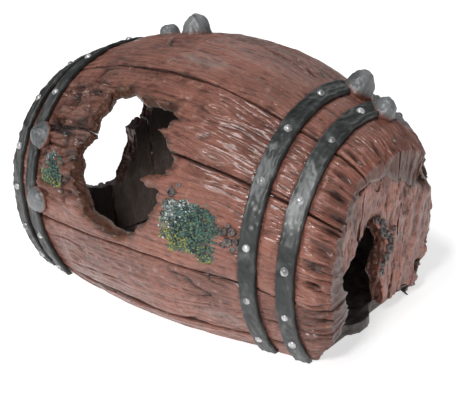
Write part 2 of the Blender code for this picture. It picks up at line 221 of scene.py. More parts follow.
def grain(u, v, seed, knots=KNOTS):
    """Height in mm, dark wash and pale wear for points of the layout."""
    lines = v + 1.9 * cloud(u / 34, v / 11, seed) + 0.5 * noise(u / 9, v / 5, seed + 3)
    eye = np.zeros_like(u)
    pale = np.zeros_like(u)
    for s, angle, half_u, half_v, wear in knots:
        du, dv = (u - s * BELLY_R), (v - arc(angle))
        rho = np.sqrt((du / half_u) ** 2 + (dv / half_v) ** 2) + 1e-6
        push = np.where(rho > 1, np.exp(-(rho - 1) / 1.3) / np.maximum(rho, 1), 0)
        lines = lines - dv * push
        inside = rho < 1
        lines = np.where(inside, arc(angle) + (1 - rho) * half_v * 1.9, lines)
        near = np.exp(-((rho - 1.05) / 0.28) ** 2)
        eye += 0.55 * near - 0.5 * np.exp(-(rho / 0.75) ** 2)
        pale = np.maximum(pale, 0.55 * wear * np.exp(-(rho / 1.35) ** 4))
    broken = 0.55 + 0.45 * cloud(u / 13, lines / 2.6, seed + 5)
    coarse = grooves(lines / 2.1 + 0.35 * noise(u / 22, lines / 5, seed + 7), 5) * broken
    fine = grooves(lines / 0.83 + 0.5 * noise(u / 12, lines / 3, seed + 9), 4)
    fine = fine * (0.5 + 0.5 * noise(u / 6, lines / 1.3, seed + 11))
    split = np.exp(-((noise(u / 55, lines / 4.2, seed + 13)) / 0.035) ** 2)
    split = split * ramp(noise(u / 20, lines / 6, seed + 15), -0.1, 0.35)
    chips = noise(u / 4.4, lines / 1.5, seed + 19) + 0.4 * noise(u / 2.4, v / 0.9, seed + 23)
    height = 0.6 * cloud(u / 17, v / 8, seed + 1) + 0.42 * (1 - coarse) + 0.17 * (1 - fine) + 0.17 * chips
    height = height - 0.75 * split + eye * 0.8
    dips = ramp(chips, -0.35, -1.0)
    wash = np.clip(0.72 * coarse ** 1.3 + 0.5 * fine + 0.95 * split + 0.45 * dips - 0.10, 0, 1)
    return height, wash, pale, coarse


# %% [markdown]
# ## The hole in the side
# The boards were stove in. The outline is drawn once on the layout as its main corners, with the
# splinters that point into the hole, and then roughened by moving the middle of each stretch a
# little, again and again, which gives the torn look of real broken timber.

# %% Outline of the break: place along in belly radii, and round in degrees
BREAK = ((-0.29, 54.8), (-0.376, 52.5), (-0.45, 51.3), (-0.457, 45), (-0.482, 39.6), (-0.455, 33.5),
         (-0.51, 29.6), (-0.555, 25.9), (-0.51, 22), (-0.49, 15.3), (-0.44, 9.2), (-0.419, 5.0),
         (-0.344, 3.1), (-0.254, 0.9), (-0.184, 0.5), (-0.089, 1.0), (-0.023, 3.5), (0.01, 7),
         (0.087, 10.1), (0.098, 13.1), (0.136, 16.9), (0.133, 20.7), (0.06, 21.0), (0.0, 22.6),
         (0.05, 25.4), (0.15, 27.6), (0.178, 30.0), (0.166, 33.6), (0.115, 36.1), (0.016, 41.2),
         (0.078, 44.6), (0.122, 46.6), (0.064, 48.1), (0.075, 50.8), (-0.01, 50.8), (-0.121, 50.9),
         (-0.212, 51.2))


def roughen(points, seed, times, amount):
    """Shift the middle of each stretch sideways, several times over."""
    pts = [np.array(p, float) for p in points]
    for k in range(times):
        grown = []
        for i, a in enumerate(pts):
            b = pts[(i + 1) % len(pts)]
            side = np.array((a[1] - b[1], b[0] - a[0]))
            shift = scatter(np.array([i * 1.0]), np.array([k * 7.0]), seed)[0] * amount
            grown += [a, (a + b) / 2 + side * shift]
        pts = grown
    return np.array(pts)


hole = roughen([(s * BELLY_R, arc(a)) for s, a in BREAK], 5, 4, 0.2)
print("break outline", len(hole), "points")


# %% Helpers that read and write many points at once
def points_of(obj):
    """All vertex positions as an array."""
    flat = np.empty(len(obj.data.vertices) * 3, np.float32)
    obj.data.vertices.foreach_get("co", flat)
    return flat.reshape(-1, 3).astype(float)


def put_points(obj, co):
    """Write all vertex positions."""
    obj.data.vertices.foreach_set("co", co.astype(np.float32).ravel())
    obj.data.update()


def mark(obj, name, values):
    """Store one number per vertex for the material to read."""
    layer = obj.data.attributes.new(name, "FLOAT", "POINT")
    layer.data.foreach_set("value", np.asarray(values, np.float32))


def lay_grain(obj, along, across):
    """Store the layout as a UV map, 100 mm to a unit, for the streaks of the paint to follow."""
    layers = obj.data.uv_layers
    layer = layers[0] if layers else layers.new(name="grain")
    loops = np.empty(len(obj.data.loops), np.int32)
    obj.data.loops.foreach_get("vertex_index", loops)
    layer.data.foreach_set("uv", (np.stack((along, across), -1)[loops] / 100).astype(np.float32).ravel())


def contains(poly, x, y):
    """Which points lie inside a closed outline."""
    inside = np.zeros(len(x), bool)
    for (x0, y0), (x1, y1) in zip(poly, np.roll(poly, -1, 0)):
        if y0 == y1:
            continue
        crossing = ((y0 > y) != (y1 > y)) & (x < (x1 - x0) * (y - y0) / (y1 - y0) + x0)
        inside ^= crossing
    return inside


def nearest(poly, x, y):
    """Closest point of an outline to each point, and how far it is."""
    best = np.full(len(x), 1e18)
    bx, by = x.copy(), y.copy()
    for (x0, y0), (x1, y1) in zip(poly, np.roll(poly, -1, 0)):
        dx, dy = x1 - x0, y1 - y0
        t = np.clip(((x - x0) * dx + (y - y0) * dy) / (dx * dx + dy * dy + 1e-12), 0, 1)
        px, py = x0 + t * dx, y0 + t * dy
        far = (x - px) ** 2 + (y - py) ** 2
        hit = far < best
        best = np.where(hit, far, best)
        bx, by = np.where(hit, px, bx), np.where(hit, py, by)
    return bx, by, np.sqrt(best)


def only(obj):
    """Select one object and nothing else."""
    bpy.ops.object.select_all(action="DESELECT")
    obj.select_set(True)
    bpy.context.view_layer.objects.active = obj


def edit_all(obj):
    """Open one object in edit mode with everything selected."""
    only(obj)
    bpy.ops.object.mode_set(mode="EDIT")
    bpy.ops.mesh.select_all(action="SELECT")


def twin_of(source):
    """A linked-in copy with its own mesh."""
    twin = source.copy()
    twin.data = source.data.copy()
    bpy.context.scene.collection.objects.link(twin)
    return twin


def join_all(made, name):
    """Join many pieces into the first and name it."""
    only(made[0])
    for twin in made:
        twin.select_set(True)
    bpy.ops.object.join()
    made[0].name = made[0].data.name = name
    return made[0]


def apply_all(obj):
    """Apply the modifiers as by hand."""
    only(obj)
    for mod in list(obj.modifiers):
        bpy.ops.object.modifier_apply(modifier=mod.name)


def cut_out(obj, poly, cell):
    """Delete the faces inside an outline and pull the new border onto it."""
    mesh = bmesh.new()
    mesh.from_mesh(obj.data)
    mids = np.array([f.calc_center_median()[:2] for f in mesh.faces])
    gone = contains(poly, mids[:, 0], mids[:, 1])
    faces = [f for f, g in zip(list(mesh.faces), gone) if g]
    rim = {v for f in faces for v in f.verts}
    bmesh.ops.delete(mesh, geom=faces, context="FACES")
    rim = [v for v in rim if v.is_valid]
    if rim:
        at = np.array([v.co[:2] for v in rim]) / cell
        x, y, far = nearest(poly / cell, at[:, 0], at[:, 1])
        for v, px, py, d in zip(rim, x, y, far):
            if d < 1.6:
                v.co.x, v.co.y = px * cell[0], py * cell[1]
    mesh.to_mesh(obj.data)
    mesh.free()


def finish(obj, smooth):
    """Turn the faces outwards and shade one finished mesh."""
    edit_all(obj)
    bpy.ops.mesh.normals_make_consistent(inside=False)
    bpy.ops.object.mode_set(mode="OBJECT")
    bpy.ops.object.shade_smooth_by_angle(angle=math.radians(smooth))


def saw_level(obj):
    """Saw off what is below ground level and close the cut."""
    edit_all(obj)
    bpy.ops.mesh.bisect(plane_co=(0, 0, 0), plane_no=(0, 0, 1), use_fill=True, clear_inner=True)
    bpy.ops.object.mode_set(mode="OBJECT")


# %% [markdown]
# ## Painted wood
# The casting is painted in layers: a red-brown coat, a near-black wash wiped out of the grooves,
# a pinkish dry brush on the high ridges, and a gloss varnish. The same near-black layer paints
# shade on the cut walls of the boards and under the doorway lip. The mesh carries one number for
# each layer, so the paint follows the carving, and a fine streak pattern adds what is too small
# to carve.

# %% Material helpers
def new_material(name):
    """A node material with its shader and a place to add nodes."""
    mat = bpy.data.materials.new(name)
    mat.use_nodes = True
    tree = mat.node_tree
    return mat, tree, tree.nodes["Principled BSDF"]


def reader(tree, name):
    """A node that reads one painted number of the mesh."""
    node = tree.nodes.new("ShaderNodeAttribute")
    node.attribute_name = name
    return node.outputs["Fac"]


def blend(tree, share, low, high):
    """Mix two colours, each a colour or another node's output."""
    node = tree.nodes.new("ShaderNodeMix")
    node.data_type = "RGBA"
    for socket, value in ((node.inputs[0], share), (node.inputs[6], low), (node.inputs[7], high)):
        if isinstance(value, bpy.types.NodeSocket):
            tree.links.new(value, socket)
        elif isinstance(value, tuple):
            socket.default_value = (*value, 1.0)
        else:
            socket.default_value = value
    return node.outputs[2]


def speckle(tree, scale, detail=3.0, stretch=(1, 1, 1), source="Object", rough=0.55):
    """Cloudy noise in object space, or along the layout when the piece has one."""
    coords = tree.nodes.new("ShaderNodeTexCoord")
    place = tree.nodes.new("ShaderNodeMapping")
    place.inputs["Scale"].default_value = stretch
    node = tree.nodes.new("ShaderNodeTexNoise")
    node.inputs["Scale"].default_value = scale
    node.inputs["Detail"].default_value = detail
    node.inputs["Roughness"].default_value = rough
    tree.links.new(coords.outputs[source], place.inputs["Vector"])
    tree.links.new(place.outputs["Vector"], node.inputs["Vector"])
    return node.outputs["Fac"]


def remap(tree, value, low, high, out_low=0.0, out_high=1.0):
    """Stretch a value from one range to another and clamp it."""
    node = tree.nodes.new("ShaderNodeMapRange")
    node.inputs["From Min"].default_value = low
    node.inputs["From Max"].default_value = high
    node.inputs["To Min"].default_value = out_low
    node.inputs["To Max"].default_value = out_high
    tree.links.new(value, node.inputs["Value"])
    return node.outputs["Result"]


def relief(tree, shader, value, strength, distance):
    """Fine bump under what the mesh carries."""
    node = tree.nodes.new("ShaderNodeBump")
    node.inputs["Strength"].default_value = strength
    node.inputs["Distance"].default_value = distance
    tree.links.new(value, node.inputs["Height"])
    tree.links.new(node.outputs["Normal"], shader.inputs["Normal"])


# %% Wood paint
BROWN_COAT, RED_COAT = (0.165, 0.060, 0.041), (0.300, 0.110, 0.075)
DARK_STREAK, PINK_STREAK = (0.085, 0.032, 0.024), (0.40, 0.21, 0.165)
SOOT, PALE_GRIT = (0.045, 0.020, 0.015), (0.46, 0.27, 0.22)
TORN_WOOD, DRY_BRUSH, WORN_KNOT = (0.145, 0.058, 0.030), (0.38, 0.165, 0.122), (0.30, 0.22, 0.195)
BLACK_WASH_AND_SHADE = (0.022, 0.012, 0.010)
# The near-black wash layer also carries painted shade on the cut walls and under the doorway lip.
LAYERS = {"edge": TORN_WOOD, "crest": DRY_BRUSH, "pale": WORN_KNOT, "wash": BLACK_WASH_AND_SHADE}
DARK_INSIDE, PALE_INSIDE = (0.130, 0.098, 0.085), (0.245, 0.190, 0.165)


def wood_paint(name, tone):
    """Red-brown coat, dark wash and painted shade, pale dry brush, torn orange edges, dark inside."""
    mat, tree, shader = new_material(name)
    streak = speckle(tree, 1.0, 4.0, (14, 260, 1), "UV", 0.6)
    blotch = speckle(tree, 55.0, 3.0)
    grit = speckle(tree, 430.0, 3.0)
    brown, red = (tuple(c * tone for c in coat) for coat in (BROWN_COAT, RED_COAT))
    colour = blend(tree, remap(tree, blotch, 0.35, 0.68), brown, red)
    colour = blend(tree, remap(tree, streak, 0.42, 0.30, 0.0, 0.6), colour, DARK_STREAK)
    colour = blend(tree, remap(tree, streak, 0.58, 0.78, 0.0, 0.55), colour, PINK_STREAK)
    colour = blend(tree, remap(tree, grit, 0.44, 0.30, 0.0, 0.7), colour, SOOT)
    colour = blend(tree, remap(tree, grit, 0.58, 0.72, 0.0, 0.6), colour, PALE_GRIT)
    for layer, paint in LAYERS.items():
        colour = blend(tree, reader(tree, layer), colour, paint)
    inside = blend(tree, remap(tree, blotch, 0.4, 0.7), DARK_INSIDE, PALE_INSIDE)
    colour = blend(tree, reader(tree, "inner"), colour, inside)
    tree.links.new(colour, shader.inputs["Base Color"])
    tree.links.new(remap(tree, blotch, 0.3, 0.7, 0.26, 0.42), shader.inputs["Roughness"])
    shader.inputs["Coat Weight"].default_value = 0.42
    shader.inputs["Coat Roughness"].default_value = 0.20
    shader.inputs["Specular IOR Level"].default_value = 0.35
    uneven = blend(tree, 0.45, streak, grit)
    relief(tree, shader, uneven, 1.0, 0.0014)
    return mat


# %% Iron paint, silver rivets
def iron_paint(name):
    """Charcoal paint scuffed grey on the high places, with a painted highlight at one angle, strongest on
    the outer right hoop.
    """
    mat, tree, shader = new_material(name)
    mottle = speckle(tree, 190.0, 4.0)
    wide = speckle(tree, 45.0, 2.0)
    colour = blend(tree, remap(tree, wide, 0.38, 0.66), (0.013, 0.015, 0.015), (0.040, 0.043, 0.042))
    colour = blend(tree, remap(tree, mottle, 0.54, 0.74, 0.0, 0.5), colour, (0.13, 0.135, 0.135))
    # The light grey is scuffed paint, and round one angle also a painted highlight.
    colour = blend(tree, reader(tree, "wear_and_highlight"), colour, (0.21, 0.215, 0.215))
    tree.links.new(colour, shader.inputs["Base Color"])
    tree.links.new(remap(tree, mottle, 0.3, 0.7, 0.34, 0.5), shader.inputs["Roughness"])
    relief(tree, shader, mottle, 0.4, 0.0004)
    return mat


def silver_paint():
    """Silver dabbed on the rivet heads, dull where it is thin."""
    mat, tree, shader = new_material("rivet_silver")
    spots = speckle(tree, 420.0, 3.0)
    colour = blend(tree, remap(tree, spots, 0.40, 0.62), (0.18, 0.18, 0.18), (0.66, 0.66, 0.67))
    tree.links.new(colour, shader.inputs["Base Color"])
    shader.inputs["Roughness"].default_value = 0.34
    shader.inputs["Metallic"].default_value = 0.35
    relief(tree, shader, spots, 0.3, 0.0002)
    return mat


# %% [markdown]
# ## The boards
# Each board starts as a flat grid, gets its ragged ends and the hole, and is thickened with
# Solidify. The thickness is then cut into layers, so that the torn edges can be splintered. Last,
# every point is given its carved depth and carried round the barrel.

# %% One flat board
CELL = np.array((0.85, 0.34))
BOARD_LONG = 2.33 * BELLY_R
HALF_JOINT = 0.18
BROKEN_BOARDS, GROUND_BOARDS = (2, 3), (0, 9)
WALL_CUTS = 5


def board(index):
    """A flat board with ragged ends, the break cut out of it, and its thickness in layers."""
    low, high = SEAMS[index] + HALF_JOINT, SEAMS[index + 1] - HALF_JOINT
    cuts = (int(BOARD_LONG / CELL[0]), int(arc(high - low) / CELL[1]))
    bpy.ops.object.select_all(action="DESELECT")
    bpy.ops.mesh.primitive_grid_add(x_subdivisions=cuts[0], y_subdivisions=cuts[1], size=1)
    obj = bpy.context.active_object
    obj.name = obj.data.name = "board_%02d" % (index + 1)
    co = points_of(obj)
    angle = low + (co[:, 1] + 0.5) * (high - low)
    rag = 0.010 * cloud(angle / 2.1, angle * 0 + index, 31, 2)
    first = left_end(angle) + rag
    torn_side = 0.15 + 0.85 * ramp(angle, 135, 160)
    last = right_end(angle) + 0.022 * torn_side * cloud(angle / 1.6, angle * 0 + index, 37, 3)
    co[:, 0] = (first + (co[:, 0] + 0.5) * (last - first)) * BELLY_R
    co[:, 1] = arc(angle)
    co[:, 2] = 0
    put_points(obj, co)
    if index in BROKEN_BOARDS:
        cut_out(obj, hole, CELL)
    thick = obj.modifiers.new("thickness", "SOLIDIFY")
    thick.thickness = WALL
    thick.offset = -1
    apply_all(obj)
    mesh = bmesh.new()
    mesh.from_mesh(obj.data)
    walls = [e for e in mesh.edges if abs(e.verts[0].co.z - e.verts[1].co.z) > 1]
    bmesh.ops.subdivide_edges(mesh, edges=walls, cuts=WALL_CUTS)
    mesh.to_mesh(obj.data)
    mesh.free()
    return obj


# %% The rim at the doorway: folds, and pits given by their angle and half width in mm
FOLD_PITCH, CREASE_PITCH = 3.4, 1.15
PIT_DEPTH, ROUNDING_DEPTH, ROUNDING_REACH = 2.5, 2.3, 7.5
PITS = ((16, 2.2), (24, 2.4), (33, 1.6), (40, 2.2), (48, 2.4), (57, 1.8), (68, 1.5), (8, 1.6),
        (-9, 1.6), (80, 1.8), (97, 1.5), (112, 1.9), (135, 1.7), (160, 2.0), (178, 1.6), (200, 1.9))


def rim_folds(u, v, end, height, wash):
    """Folds, creases and knobs in the last few millimetres of the boards."""
    rim = ramp(end, 11, 4)
    folds = grooves(v / FOLD_PITCH + 0.9 * cloud(u / 11, v / 6, 71), 2)
    folds = folds * (0.55 + 0.45 * noise(u / 7, v / 3.3, 73))
    creases = grooves(v / CREASE_PITCH + 0.9 * cloud(u / 6, v / 3, 75), 3)
    creases = creases * (0.5 + 0.5 * noise(u / 3, v / 2.1, 77))
    knobs = cloud(u / 3.1, v / 2.2, 79, 2)
    height = height + rim * (1.15 * (1 - folds) + 0.4 * (1 - creases) + 0.55 * knobs - 0.65)
    wash = np.maximum(wash, rim * np.clip(0.75 * folds ** 2 + 0.45 * creases, 0, 0.9))
    return height, wash


def rim_pits(v, end):
    """How deep each point lies in a pit, from 0 to 1."""
    pit = np.zeros_like(v)
    for at, wide in PITS:
        away = 3.2 + 1.8 * math.sin(at * 1.7)
        pit += np.exp(-((end - away) / 2.3) ** 2 - ((v - arc(at)) / (wide * 0.75)) ** 2)
    return np.clip(pit, 0, 1)


# %% The edge of the break, and the knobbly stubs between it and the left hoops
BREAK_MARGIN = 6
STUB_START, STUB_END = (-0.88 * BELLY_R, -0.80 * BELLY_R), (-0.40 * BELLY_R, -0.53 * BELLY_R)


def chew_break(u, v, height, wash, edge):
    """Chew the wood away along the break and bare its orange inside."""
    far = np.full(len(u), 99.0)
    low, high = hole.min(0) - BREAK_MARGIN, hole.max(0) + BREAK_MARGIN
    close = (u > low[0]) & (u < high[0]) & (v > low[1]) & (v < high[1])
    far[close] = nearest(hole, u[close], v[close])[2]
    edge = np.maximum(edge, np.exp(-(far / 1.3) ** 2) * 0.9)
    chew = cloud(u / 2.2, v / 2.2, 97, 2)
    height = height - (0.9 + 0.9 * chew) * np.exp(-far / 1.1)
    wash = np.maximum(wash, 0.75 * np.exp(-far / 1.6) * ramp(chew, 0.2, -0.3))
    return height, wash, edge


def knobbly_stubs(u, v, angle, height, wash, edge):
    """Lumps and hollows on the stubs of the broken boards."""
    stub = ramp(u, *STUB_END) * ramp(u, *STUB_START)
    stub = stub * ramp(angle, 2, 12) * ramp(angle, 62, 52)
    bumps = cloud(u / 3.3 + 0.6 * noise(v / 4, u / 4, 91), v / 2.6, 93, 3)
    height = height + stub * (2.3 * bumps - 0.3)
    wash = np.maximum(wash, stub * (0.35 + 0.6 * ramp(bumps, 0.1, -0.4)))
    edge = np.maximum(edge, stub * (0.25 + 0.35 * ramp(bumps, -0.1, 0.5)))
    return height, wash, edge


# %% Under the hoops, and the lip: how many mm it hangs inwards at each angle
LIP_ANGLES = (-44, -36, -24, -6, 10, 30, 66, 80, 93, 115, 134, 150, 158)
LIP_DEPTHS = (0, 2, 6.5, 6.5, 4.5, 0, 0, 3, 6.5, 9, 10, 6, 0)


def hoop_tracks(u):
    """Which points a hoop covers, from 0 to 1."""
    under = np.zeros_like(u)
    for station in HOOPS.values():
        under = np.maximum(under, ramp(np.abs(u - station * BELLY_R), 3.6, 2.5))
    return under


def shape_wall(co, deep, carried, end, side, angle, index):
    """Splinter the cut walls, thicken the lip and set every point's depth, all in place."""
    u, v = co[:, 0], co[:, 1]
    inner_bumps = 0.5 * cloud(u / 15, v / 6, 77 + index, 3)
    fibre = noise(u / 1.1, deep * 6 + v / 1.7, 55 + index)
    shiver = 0.5 * ramp(end, 2, 6) + 0.12
    swell = 0.9 * cloud(v / 4.2, deep * 2.2 + index, 85, 2) * ramp(end, 3, 0) * ramp(deep, 0.1, 0.3)
    u += np.where(inside_wall(deep), shiver * fibre + swell, 0) * ramp(side, 0.05, 0.4)
    lip = np.interp(angle, LIP_ANGLES, LIP_DEPTHS)
    lip = lip * ramp(end, 6.4, 4.2) * (0.85 + 0.3 * noise(v / 5, u / 9, 83))
    co[:, 2] = -deep * (WALL + lip) + carried + ramp(deep, 0.8, 1.0) * inner_bumps


def inside_wall(deep):
    """Which points lie within the thickness, on a cut wall."""
    return (deep > 0.02) & (deep < 0.98)


# %% Carve one board
LIFT = (0.0, -0.35, 0.25, 0.0, 0.3, -0.1, 0.2, 0.0, 0.25, -0.1)
SEAM_DEPTH = 1.25


def carve(obj, index):
    """Give the flat board its carved depth and its paint numbers, then bend it round."""
    co = points_of(obj)
    u, v, deep = co[:, 0], co[:, 1], -co[:, 2] / WALL
    angle = np.degrees(v / BELLY_R)
    height, wash, pale, coarse = grain(u, v, 40 + 5 * index)
    side = np.minimum(v - arc(SEAMS[index]), arc(SEAMS[index + 1]) - v)
    seam = np.exp(-(side / (0.55 + 0.25 * noise(u / 12, v * 0, index))) ** 2)
    end = right_end(angle) * BELLY_R - u
    start = u - left_end(angle) * BELLY_R
    height, wash = rim_folds(u, v, end, height, wash)
    pit = rim_pits(v, end)
    rounding = np.clip(1 - end / ROUNDING_REACH, 0, 1) ** 2
    height = height - PIT_DEPTH * pit - ROUNDING_DEPTH * rounding - 0.9 * ramp(start, 2.2, 0)
    edge = np.exp(-start.clip(0) / 0.9) * 0.5
    if index in BROKEN_BOARDS:
        height, wash, edge = chew_break(u, v, height, wash, edge)
    height, wash, edge = knobbly_stubs(u, v, angle, height, wash, edge)
    under = hoop_tracks(u)
    height = height * (1 - 0.85 * under) + LIFT[index] * (1 - under) - SEAM_DEPTH * seam
    wash = np.clip(wash + 0.95 * seam + 0.8 * pit, 0, 1)
    wash = np.maximum(wash, 0.6 * ramp(np.abs(under - 0.5), 0.5, 0.2) * (under > 0))
    surface, wall = ramp(deep, 0.16, 0.0), inside_wall(deep)
    carried = np.where(wall, (1 - deep) * height, surface * height)
    shape_wall(co, deep, carried, end, side, angle, index)
    # The cut walls get a painted shade, deeper within 4 mm of the doorway rim, unless the wash carried from
    # the surface is darker.
    wall_shade_and_wash = np.maximum(np.where(end < 4, 0.45, 0.3), wash * surface)
    mark(obj, "wash", np.where(wall, wall_shade_and_wash, np.where(deep < 0.5, wash, 0.2)))
    mark(obj, "pale", pale * surface * (1 - 0.7 * coarse))
    mark(obj, "crest", np.clip((height - 0.25) * 0.55, 0, 0.6) * (1 - wash) * surface)
    mark(obj, "edge", np.where(wall, 0.75 * ramp(end, 2, 6), edge * surface))
    mark(obj, "inner", ramp(deep, 0.70, 0.97))
    lay_grain(obj, u, v + deep * WALL)
    put_points(obj, wrap(co))


# %% All ten boards
TONES = (0.95, 0.98, 1.05, 1.0, 1.04)
boards = []
for i in range(len(SEAMS) - 1):
    piece = board(i)
    carve(piece, i)
    if i in GROUND_BOARDS:
        saw_level(piece)
    finish(piece, 55)
    piece.data.materials.append(wood_paint("board_paint_%02d" % (i + 1), TONES[i % 5]))
    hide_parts("stave_%02d" % (i + 1))
    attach(piece, "barrel")
    boards.append(piece)
print("boards", len(boards), "faces", sum(len(b.data.polygons) for b in boards))


# %% [markdown]
# ## Hoops and rivets
# The hoops are flat iron bands driven onto the barrel. Each is a strip of the same flat layout,
# thickened, slightly crowned and dented, then carried round. The rivets are domes with a small
# skirt, modelled once and copied to their places with a few degrees of unevenness.

# %% Hoops
HOOP_GAP = 0.35
HOOP_THICK = 1.7
HOOP_WIDTH = 5.2
HOOP_START, HOOP_SWEEP = -70, 320
HIGHLIGHT_ANGLE = 38


def band(name, station):
    """One hoop."""
    bpy.ops.object.select_all(action="DESELECT")
    bpy.ops.mesh.primitive_grid_add(x_subdivisions=16, y_subdivisions=560, size=1)
    obj = bpy.context.active_object
    obj.name = obj.data.name = name.replace("hoop", "band")
    co = points_of(obj)
    co[:, 1] = arc(HOOP_START + (co[:, 1] + 0.5) * HOOP_SWEEP)
    across = co[:, 0] * 2
    ragged = 0.16 * cloud(co[:, 1] / 3.3, np.sign(across) * 9 + station, 61)
    co[:, 0] = station * BELLY_R + across * (HOOP_WIDTH / 2 + 0.1) + ragged * np.abs(across)
    put_points(obj, co)
    thick = obj.modifiers.new("thickness", "SOLIDIFY")
    thick.thickness = HOOP_THICK
    thick.offset = -1
    round_off = obj.modifiers.new("rounding", "BEVEL")
    round_off.width = 0.45
    round_off.segments = 2
    round_off.limit_method = "ANGLE"
    apply_all(obj)
    co = points_of(obj)
    u, v = co[:, 0], co[:, 1]
    top = ramp(co[:, 2], -HOOP_THICK * 0.6, -0.3)
    t = (u - station * BELLY_R) / (HOOP_WIDTH / 2)
    dents = 0.34 * cloud(u / 2.2, v / 5.2, 63) + 0.22 * cloud(u / 1.0, v / 2.4, 65)
    lip = 0.22 * np.exp(-((np.abs(t) - 0.86) / 0.16) ** 2)
    co[:, 2] += HOOP_GAP + HOOP_THICK + top * (dents + lip - 0.16 * t * t)
    angle = np.degrees(v / BELLY_R)
    scuffs_and_highlight = ramp(cloud(u / 2.2, v / 5.5, 67), 0.2, 0.75) * 0.32
    # A painted highlight round one angle, strong on the outer right hoop and faint on the others, joins the
    # scuffs.
    painted_highlight = np.exp(-((angle - HIGHLIGHT_ANGLE) / 11) ** 2) * (0.9 if name == "hoop_right_outer" else 0.2)
    scuffs_and_highlight = scuffs_and_highlight + painted_highlight * ramp(cloud(u / 2.2, v / 7, 69), -0.5, 0.3)
    mark(obj, "wear_and_highlight", np.clip(scuffs_and_highlight * top * (1 - 0.5 * t * t), 0, 1))
    put_points(obj, wrap(co))
    saw_level(obj)
    finish(obj, 50)
    obj.data.materials.append(iron_paint(name + "_paint"))
    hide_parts(name)
    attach(obj, "barrel")
    return obj


bands = [band(name, station) for name, station in HOOPS.items()]
print("bands", len(bands))

# %% Rivets: their angles where the spacing is uneven, then where the even row starts
NEAR_RIVETS = {"hoop_right_inner": (-28, -8, 13, 38, 61, 85), "hoop_right_outer": (-25, -10, 10, 38, 67, 91),
               "hoop_left_inner": (-29, -12, 50, 72), "hoop_left_outer": (-27, -11, 8, 26, 49, 71)}
FAR_RIVETS = {"hoop_right_inner": 131, "hoop_right_outer": 128, "hoop_left_inner": 94, "hoop_left_outer": 94}
LAST_RIVET, RIVET_PITCH = 212, 23


def rivet_head():
    """A domed head with a thin skirt, about the origin."""
    bpy.ops.object.select_all(action="DESELECT")
    bpy.ops.mesh.primitive_uv_sphere_add(segments=14, ring_count=10, radius=1.35)
    obj = bpy.context.active_object
    saw_level(obj)
    co = points_of(obj)
    flat = co[:, 2] < 0.01
    co[flat, :2] *= 1.12
    co[:, 2] = co[:, 2] * 0.78 - flat * 0.45
    put_points(obj, co)
    return obj


def carry(obj, u, v, depth, turn=0.0):
    """Stand a small piece modelled about the origin (mm) on the barrel."""
    spots = wrap(np.array(((u, v, depth), (u + 0.5, v, depth), (u, v + 0.5, depth))))
    at, x, y = (Vector(s) for s in spots)
    x, y = (x - at).normalized(), (y - at).normalized()
    z = x.cross(y)
    frame_of = Matrix((x, z.cross(x), z)).transposed().to_4x4()
    spin = Matrix.Rotation(turn, 4, "Z")
    obj.data.transform(Matrix.Translation(at) @ frame_of @ spin @ Matrix.Scale(MM, 4))
    obj.data.update()


def copies(source, places, name):
    """Copy one piece to many places, each with its own mesh, and join them."""
    made = []
    for u, v, depth, size, turn in places:
        twin = twin_of(source)
        twin.data.transform(Matrix.Scale(size, 4))
        carry(twin, u, v, depth, turn)
        made.append(twin)
    return join_all(made, name)


silver = silver_paint()
dome = rivet_head()
for name, station in HOOPS.items():
    angles = NEAR_RIVETS[name] + tuple(range(FAR_RIVETS[name], LAST_RIVET, RIVET_PITCH))
    spots = [(station * BELLY_R + 0.35 * math.sin(a * 1.9), arc(a), HOOP_GAP + HOOP_THICK - 0.1,
              1.0 + 0.1 * math.sin(a * 2.7), a) for a in angles]
    rivets = copies(dome, spots, name.replace("hoop", "rivets"))
    finish(rivets, 60)
    rivets.data.materials.append(silver)
    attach(rivets, "barrel")
bpy.data.objects.remove(dome, do_unlink=True)
print("rivets on", len(HOOPS), "hoops")

# %% [markdown]
# ## Heads and floor
# The head boards already have their true outline in the solids, so each starts as a copy of its
# solid. Its loose triangles are merged, a voxel remesh gives it an even skin to carve, and the
# grain is cut from top to bottom. The floor is treated the same way, with a sandy skin.

# %% Remeshed copies
def fine_copy(node, voxel):
    """An evenly meshed copy of a solid, in metres."""
    obj = twin_of(nodes[node])
    obj.data.materials.clear()
    edit_all(obj)
    bpy.ops.mesh.remove_doubles(threshold=0.00001)
    bpy.ops.object.mode_set(mode="OBJECT")
    remesh = obj.modifiers.new("skin", "REMESH")
    remesh.mode = "VOXEL"
    remesh.voxel_size = voxel * MM
    apply_all(obj)
    return obj


def normals_of(obj):
    """Vertex normals as an array."""
    flat = np.empty(len(obj.data.vertices) * 3, np.float32)
    obj.data.vertices.foreach_get("normal", flat)
    return flat.reshape(-1, 3).astype(float)


# %% Head boards: knots by height and place across, half length, half width (mm) and pale
HEAD_KNOTS = ((27.4, -11.8, 6.5, 2.8, 0.15), (16.0, 4.0, 3.6, 1.8, 0.3), (8.5, 10.5, 4.2, 2.2, 0.3),
              (-14, 16, 4.0, 2.0, 0.3), (24, 14, 3.4, 1.8, 0.3))
HEAD_VOXEL, BED_VOXEL = 0.42, 0.7
# Where the painted shadow under the doorway lip begins: angles round the head, and mm from its axis.
SHADOW_ANGLES, SHADOW_STARTS = (70, 77, 93, 134, 150), (32, 30, 25, 20.5, 22)


def rim_breaks_and_lip_shadow(node, along, across):
    """Where a head is broken away at its rim, and where the doorway's is sunk and painted with the lip's
    shadow.
    """
    from_axis = np.hypot(along, across)
    turn = np.degrees(np.arctan2(along, -across))
    turn = np.where(turn < -100, turn + 360, turn)
    patches = np.sin(turn * 0.34 + 2) * 0.6 + 0.5 + 0.45 * cloud(turn / 7, from_axis / 7, 88)
    rim = ramp(from_axis, 26, 35) * patches
    if "door" not in node:
        return ramp(rim * 0.4, 0.45, 0.9), np.zeros_like(rim)
    start = np.interp(turn, SHADOW_ANGLES, SHADOW_STARTS)
    # The doorway head is sunk under the lip here and given a painted shadow.
    painted_shadow_gap = ramp(from_axis, start, start + 5) * ramp(turn, 60, 78) * ramp(turn, 165, 145)
    return ramp(rim * ramp(turn, 120, 150), 0.45, 0.9), painted_shadow_gap


